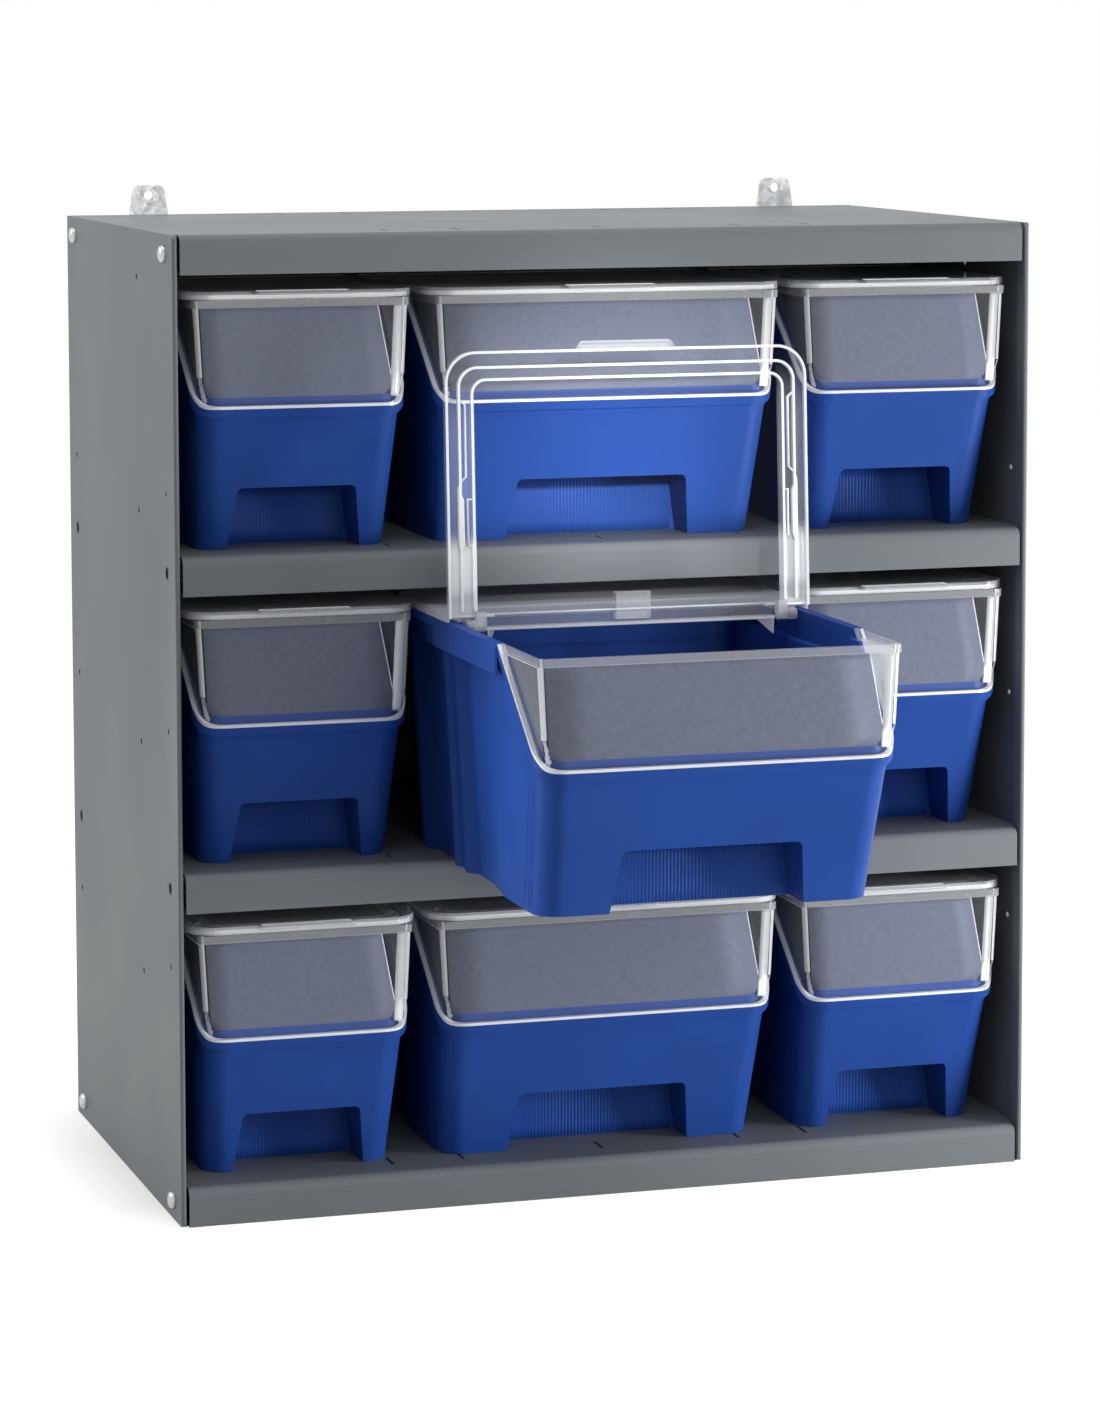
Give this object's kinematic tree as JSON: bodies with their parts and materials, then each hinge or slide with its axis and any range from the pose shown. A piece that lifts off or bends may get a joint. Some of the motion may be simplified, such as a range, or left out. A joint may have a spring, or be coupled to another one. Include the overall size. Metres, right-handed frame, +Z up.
{
  "type": "bin rack",
  "caption": "Sheet-steel wall rack with three shelves of lidded plastic bins that pull out; each bin has a clear front and a hinged clear flap.",
  "frame": {"origin": "on the plane the rack stands on, under the middle of the case", "axes": "+Z up, +Y towards the wall, +X to the right seen from the front"},
  "size_m": [0.5828, 0.568, 0.6505],
  "materials": {
    "case_paint": "satin",
    "bin_plastic": "gloss",
    "clear_plastic": "gloss",
    "galvanised": "spangled",
    "zinc": "satin"
  },
  "bodies": {
    "rack": {"left_side_panel": "case_paint", "right_side_panel": "case_paint", "top_panel": "case_paint", "upper_shelf": "case_paint", "lower_shelf": "case_paint", "bottom_panel": "case_paint", "back_panel": "case_paint", "corner_bolts": "zinc", "corner_nuts": "zinc", "left_wall_tab": "galvanised", "right_wall_tab": "galvanised", "wall_tab_rivets": "zinc", "back_panel_rivets": "zinc"},
    "bottom_left_bin": {"bottom_left_bin": "bin_plastic", "bottom_left_window": "clear_plastic", "bottom_left_rear_lid": "clear_plastic"},
    "bottom_left_flap": {"bottom_left_front_flap": "clear_plastic"},
    "bottom_centre_bin": {"bottom_centre_bin": "bin_plastic", "bottom_centre_window": "clear_plastic", "bottom_centre_rear_lid": "clear_plastic"},
    "bottom_centre_flap": {"bottom_centre_front_flap": "clear_plastic"},
    "bottom_right_bin": {"bottom_right_bin": "bin_plastic", "bottom_right_window": "clear_plastic", "bottom_right_rear_lid": "clear_plastic"},
    "bottom_right_flap": {"bottom_right_front_flap": "clear_plastic"},
    "middle_left_bin": {"middle_left_bin": "bin_plastic", "middle_left_window": "clear_plastic", "middle_left_rear_lid": "clear_plastic"},
    "middle_left_flap": {"middle_left_front_flap": "clear_plastic"},
    "middle_centre_bin": {"middle_centre_bin": "bin_plastic", "middle_centre_window": "clear_plastic", "middle_centre_rear_lid": "clear_plastic"},
    "middle_centre_flap": {"middle_centre_front_flap": "clear_plastic"},
    "middle_right_bin": {"middle_right_bin": "bin_plastic", "middle_right_window": "clear_plastic", "middle_right_rear_lid": "clear_plastic"},
    "middle_right_flap": {"middle_right_front_flap": "clear_plastic"},
    "top_left_bin": {"top_left_bin": "bin_plastic", "top_left_window": "clear_plastic", "top_left_rear_lid": "clear_plastic"},
    "top_left_flap": {"top_left_front_flap": "clear_plastic"},
    "top_centre_bin": {"top_centre_bin": "bin_plastic", "top_centre_window": "clear_plastic", "top_centre_rear_lid": "clear_plastic"},
    "top_centre_flap": {"top_centre_front_flap": "clear_plastic"},
    "top_right_bin": {"top_right_bin": "bin_plastic", "top_right_window": "clear_plastic", "top_right_rear_lid": "clear_plastic"},
    "top_right_flap": {"top_right_front_flap": "clear_plastic"}
  },
  "joints": [
    {"name": "bottom_left_slide", "type": "slide", "parent": "rack", "child": "bottom_left_bin", "axis": [0, -1, 0], "range_m": [0, 0.305]},
    {"name": "bottom_left_flap_hinge", "type": "hinge", "parent": "bottom_left_bin", "child": "bottom_left_flap", "pos_m": [-0.2035, 0.011, 0.18367], "axis": [-1, 0, 0], "range_deg": [0, 3]},
    {"name": "bottom_centre_slide", "type": "slide", "parent": "rack", "child": "bottom_centre_bin", "axis": [0, -1, 0], "range_m": [0, 0.305]},
    {"name": "bottom_centre_flap_hinge", "type": "hinge", "parent": "bottom_centre_bin", "child": "bottom_centre_flap", "pos_m": [0, 0.011, 0.18367], "axis": [-1, 0, 0], "range_deg": [0, 3]},
    {"name": "bottom_right_slide", "type": "slide", "parent": "rack", "child": "bottom_right_bin", "axis": [0, -1, 0], "range_m": [0, 0.305]},
    {"name": "bottom_right_flap_hinge", "type": "hinge", "parent": "bottom_right_bin", "child": "bottom_right_flap", "pos_m": [0.2035, 0.011, 0.18367], "axis": [-1, 0, 0], "range_deg": [0, 3]},
    {"name": "middle_left_slide", "type": "slide", "parent": "rack", "child": "middle_left_bin", "axis": [0, -1, 0], "range_m": [0, 0.305]},
    {"name": "middle_left_flap_hinge", "type": "hinge", "parent": "middle_left_bin", "child": "middle_left_flap", "pos_m": [-0.2035, 0.011, 0.38533], "axis": [-1, 0, 0], "range_deg": [0, 3]},
    {"name": "middle_centre_slide", "type": "slide", "parent": "rack", "child": "middle_centre_bin", "axis": [0, -1, 0], "range_m": [-0.038, 0.068]},
    {"name": "middle_centre_flap_hinge", "type": "hinge", "parent": "middle_centre_bin", "child": "middle_centre_flap", "pos_m": [-0.006, -0.226, 0.38533], "axis": [-1, 0, 0], "range_deg": [-93, 0]},
    {"name": "middle_right_slide", "type": "slide", "parent": "rack", "child": "middle_right_bin", "axis": [0, -1, 0], "range_m": [0, 0.305]},
    {"name": "middle_right_flap_hinge", "type": "hinge", "parent": "middle_right_bin", "child": "middle_right_flap", "pos_m": [0.2035, 0.011, 0.38533], "axis": [-1, 0, 0], "range_deg": [0, 3]},
    {"name": "top_left_slide", "type": "slide", "parent": "rack", "child": "top_left_bin", "axis": [0, -1, 0], "range_m": [0, 0.305]},
    {"name": "top_left_flap_hinge", "type": "hinge", "parent": "top_left_bin", "child": "top_left_flap", "pos_m": [-0.2035, 0.011, 0.587], "axis": [-1, 0, 0], "range_deg": [0, 3]},
    {"name": "top_centre_slide", "type": "slide", "parent": "rack", "child": "top_centre_bin", "axis": [0, -1, 0], "range_m": [0, 0.046]},
    {"name": "top_centre_flap_hinge", "type": "hinge", "parent": "top_centre_bin", "child": "top_centre_flap", "pos_m": [0, 0.011, 0.587], "axis": [-1, 0, 0], "range_deg": [0, 3]},
    {"name": "top_right_slide", "type": "slide", "parent": "rack", "child": "top_right_bin", "axis": [0, -1, 0], "range_m": [0, 0.305]},
    {"name": "top_right_flap_hinge", "type": "hinge", "parent": "top_right_bin", "child": "top_right_flap", "pos_m": [0.2035, 0.011, 0.587], "axis": [-1, 0, 0], "range_deg": [0, 3]}
  ]
}
